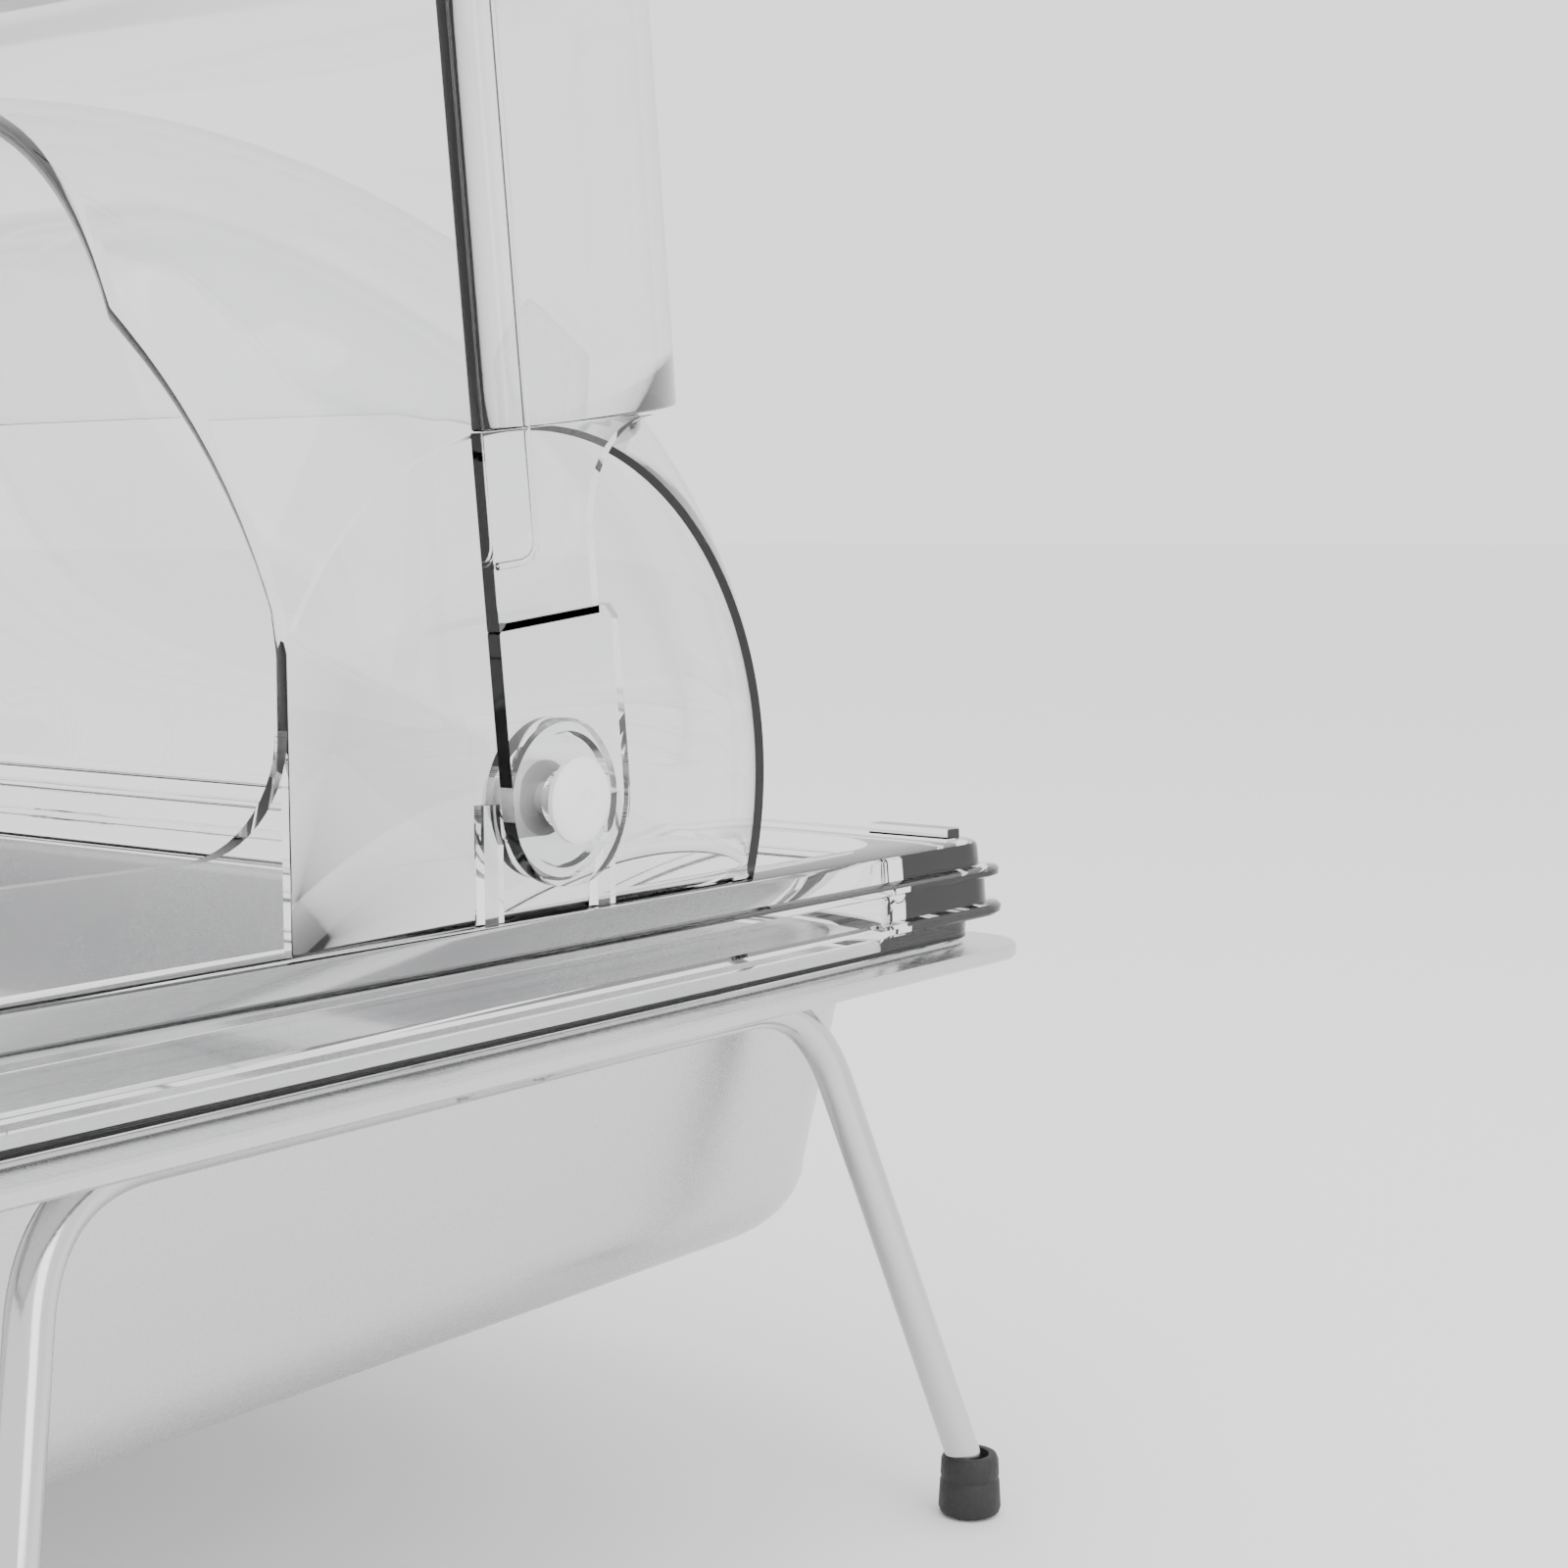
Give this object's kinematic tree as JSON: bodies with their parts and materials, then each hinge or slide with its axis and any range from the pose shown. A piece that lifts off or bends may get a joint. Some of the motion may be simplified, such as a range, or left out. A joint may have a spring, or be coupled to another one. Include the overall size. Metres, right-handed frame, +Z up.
{
  "type": "roll top chafer",
  "caption": "Rectangular chafer with a clear cover whose front lid rolls back over a fixed rear hood, nested steel pans and a wire leg stand with rubber feet.",
  "frame": {"origin": "bottom centre, on the table between the four feet", "axes": "+X along the length and the lid's axis, +Y from the lid's opening side to the rear hood, +Z up"},
  "size_m": [0.5444, 0.325, 0.3513],
  "materials": {
    "pan_steel": "satin stainless sheet",
    "food_pan_steel": "satin stainless sheet",
    "leg_steel": "bright drawn wire",
    "weld_steel": "raw weld",
    "foot_rubber": "matt moulded",
    "pin_nylon": "natural moulded",
    "clear_cover": "clear polycarbonate, gloss"
  },
  "bodies": {
    "stand": {"water_pan": "pan_steel", "leg_frame_right": "leg_steel", "leg_frame_left": "leg_steel", "weld_beads_right": "weld_steel", "weld_beads_left": "weld_steel", "foot_front_right": "foot_rubber", "foot_rear_right": "foot_rubber", "foot_front_left": "foot_rubber", "foot_rear_left": "foot_rubber"},
    "food_tray": {"food_pan": "food_pan_steel"},
    "cover": {"cover_ring": "clear_cover", "corner_stops": "clear_cover", "hood_shell": "clear_cover", "pivot_post_right": "clear_cover", "pivot_post_left": "clear_cover", "pivot_pin_right": "pin_nylon", "pivot_pin_left": "pin_nylon", "pin_cap_right": "pin_nylon", "pin_cap_left": "pin_nylon"},
    "lid": {"lid_shell": "clear_cover", "lid_ear_right": "clear_cover", "lid_ear_left": "clear_cover", "lid_handle": "clear_cover"}
  },
  "joints": [
    {"name": "food_pan_lift", "type": "slide", "parent": "stand", "child": "food_tray", "axis": [0, 0, 1], "range_m": [0, 0.12]},
    {"name": "cover_lift", "type": "slide", "parent": "food_tray", "child": "cover", "axis": [0, 0, 1], "range_m": [0, 0.15]},
    {"name": "lid_roll", "type": "hinge", "parent": "cover", "child": "lid", "pos_m": [0, 0, 0.176], "axis": [1, 0, 0], "range_deg": [0, 84]}
  ]
}
